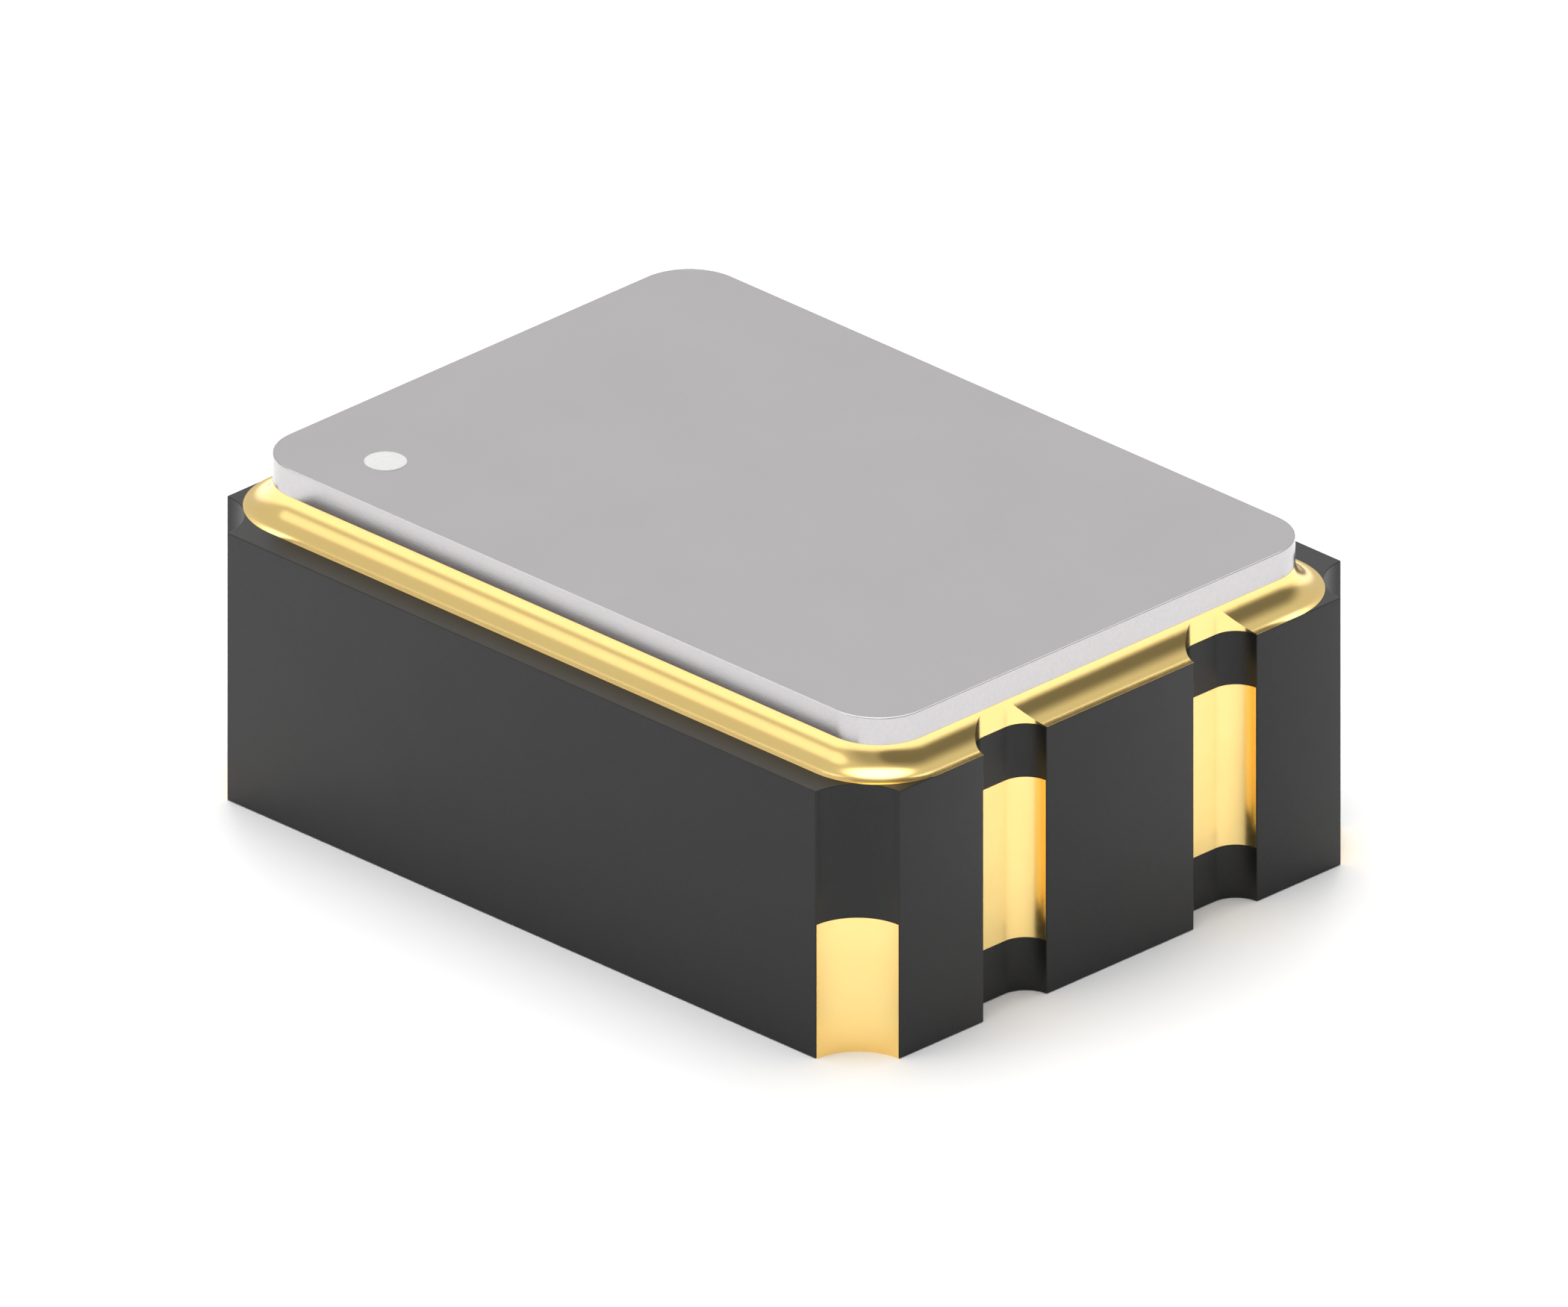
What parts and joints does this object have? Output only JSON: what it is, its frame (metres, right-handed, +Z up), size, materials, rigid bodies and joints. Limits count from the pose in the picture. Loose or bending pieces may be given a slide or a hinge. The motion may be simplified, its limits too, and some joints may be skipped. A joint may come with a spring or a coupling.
{
  "type": "crystal oscillator",
  "caption": "Surface-mount crystal oscillator: black ceramic body with gold castellations, brazed seal ring and flat metal lid over a quartz blank and a wire-bonded die.",
  "frame": {"origin": "centre of the seating plane, under the middle of the package", "axes": "+X along the package's length, +Y across its width, +Z up from the solder pads to the lid"},
  "size_m": [0.0032, 0.0024, 0.0012],
  "materials": {
    "black_ceramic": "matt black co-fired alumina",
    "gold_plating": "satin gold plating on fired metal",
    "gold_plated_braze": "bright gold plating on reflowed braze",
    "gold_plated_ring": "satin gold plating on a stamped alloy ring",
    "nickel_plated_lid": "satin nickel plating on a stamped alloy lid",
    "silicon": "polished silicon",
    "die_film": "cured resin adhesive",
    "aluminium_pads": "bright evaporated metal",
    "gold_wire": "bright drawn gold wire",
    "silver_adhesive": "matt silver-filled adhesive",
    "silver_film": "bright evaporated silver",
    "quartz": "lapped clear quartz"
  },
  "bodies": {
    "root": {"ceramic_body": "black_ceramic", "terminal_1_enable": "gold_plating", "terminal_2_ground": "gold_plating", "terminal_3_output": "gold_plating", "terminal_4_supply": "gold_plating", "crystal_contact_1": "gold_plating", "crystal_contact_2": "gold_plating", "program_contact_1": "gold_plating", "program_contact_2": "gold_plating", "die_pad": "gold_plating", "die_attach_film": "die_film", "oscillator_die": "silicon", "die_bond_pads": "aluminium_pads", "bond_wire_1": "gold_wire", "bond_wire_2": "gold_wire", "bond_wire_3": "gold_wire", "bond_wire_4": "gold_wire", "bond_wire_5": "gold_wire", "bond_wire_6": "gold_wire", "bond_wire_7": "gold_wire", "bond_wire_8": "gold_wire", "adhesive_dot_1": "silver_adhesive", "adhesive_dot_2": "silver_adhesive", "electrode_bottom": "silver_film", "quartz_blank": "quartz", "electrode_top": "silver_film", "seal_metallisation": "gold_plating", "braze_fillet": "gold_plated_braze", "seal_ring": "gold_plated_ring", "lid": "nickel_plated_lid"}
  },
  "joints": []
}
